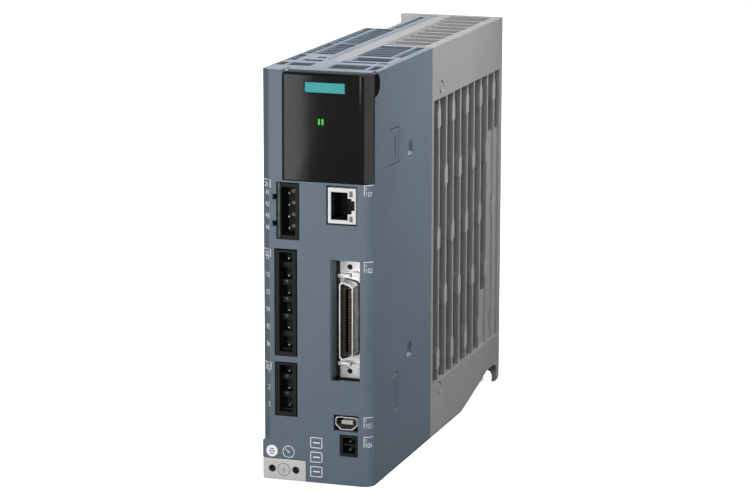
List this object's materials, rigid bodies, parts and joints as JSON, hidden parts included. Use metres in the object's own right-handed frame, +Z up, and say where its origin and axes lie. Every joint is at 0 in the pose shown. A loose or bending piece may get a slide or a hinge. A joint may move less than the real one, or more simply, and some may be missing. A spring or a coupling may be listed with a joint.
{
  "type": "servo drive",
  "caption": "Book-format servo drive with a plastic front housing, cast heatsink body, hinged front flap, plug headers, network and signal sockets and a rear mounting flange.",
  "frame": {"origin": "middle of the underside, halfway between the front face and the rear mounting face and halfway across the width", "axes": "+Z up along the height, -Y out of the front face, +Y towards the mounting wall, +X to the right seen from the front"},
  "size_m": [0.05, 0.2, 0.18],
  "materials": {
    "housing_plastic": "satin",
    "cast_aluminium": "cast",
    "gloss_black": "gloss",
    "teal_plastic": "satin",
    "green_light": "gloss",
    "steel": "satin",
    "earth_metal": "cast",
    "black_plastic": "satin",
    "tinned_metal": "satin",
    "contact_gold": "satin",
    "circuit_board": "satin",
    "white_plastic": "satin",
    "blue_sleeve": "satin",
    "copper": "gloss",
    "grey_plastic": "satin"
  },
  "bodies": {
    "drive_body": {"board_screw_1": "steel", "board_screw_2": "steel", "brake_board": "circuit_board", "control_board": "circuit_board", "earth_plate": "earth_metal", "encoder_shell": "tinned_metal", "encoder_tongue": "white_plastic", "front_housing": "housing_plastic", "fuse": "white_plastic", "header_four_way": "black_plastic", "header_six_way": "black_plastic", "header_three_way": "black_plastic", "header_two_way": "black_plastic", "heatsink_casting": "cast_aluminium", "inrush_relay": "black_plastic", "left_shell": "housing_plastic", "line_choke": "copper", "link_board": "circuit_board", "link_capacitor_1": "blue_sleeve", "link_capacitor_2": "blue_sleeve", "link_capacitor_3": "blue_sleeve", "link_capacitor_4": "blue_sleeve", "memory_card_slot": "tinned_metal", "network_jack_contacts": "contact_gold", "network_jack_shell": "tinned_metal", "pin_four_way_1": "tinned_metal", "pin_four_way_2": "tinned_metal", "pin_four_way_3": "tinned_metal", "pin_four_way_4": "tinned_metal", "pin_six_way_1": "tinned_metal", "pin_six_way_2": "tinned_metal", "pin_six_way_3": "tinned_metal", "pin_six_way_4": "tinned_metal", "pin_six_way_5": "tinned_metal", "pin_six_way_6": "tinned_metal", "pin_three_way_1": "tinned_metal", "pin_three_way_2": "tinned_metal", "pin_three_way_3": "tinned_metal", "pin_two_way_1": "tinned_metal", "pin_two_way_2": "tinned_metal", "power_board": "circuit_board", "power_module": "black_plastic", "processor": "black_plastic", "signal_bracket": "tinned_metal", "signal_insert": "black_plastic", "signal_shell": "tinned_metal", "thermal_pad": "white_plastic"},
    "flap": {"front_flap": "gloss_black", "flap_top_strip": "housing_plastic", "flap_badge": "teal_plastic", "led_pipe_left": "green_light", "led_pipe_right": "green_light", "hinge_pin_left": "steel", "hinge_pin_right": "steel"},
    "card": {"memory_card": "grey_plastic"}
  },
  "joints": [
    {"name": "flap_hinge", "type": "hinge", "parent": "drive_body", "child": "flap", "pos_m": [0, -0.0951, 0.1747], "axis": [-1, 0, 0], "range_deg": [0, 105]},
    {"name": "card_slide", "type": "slide", "parent": "drive_body", "child": "card", "axis": [0, -1, 0], "range_m": [0, 0.0035]}
  ]
}
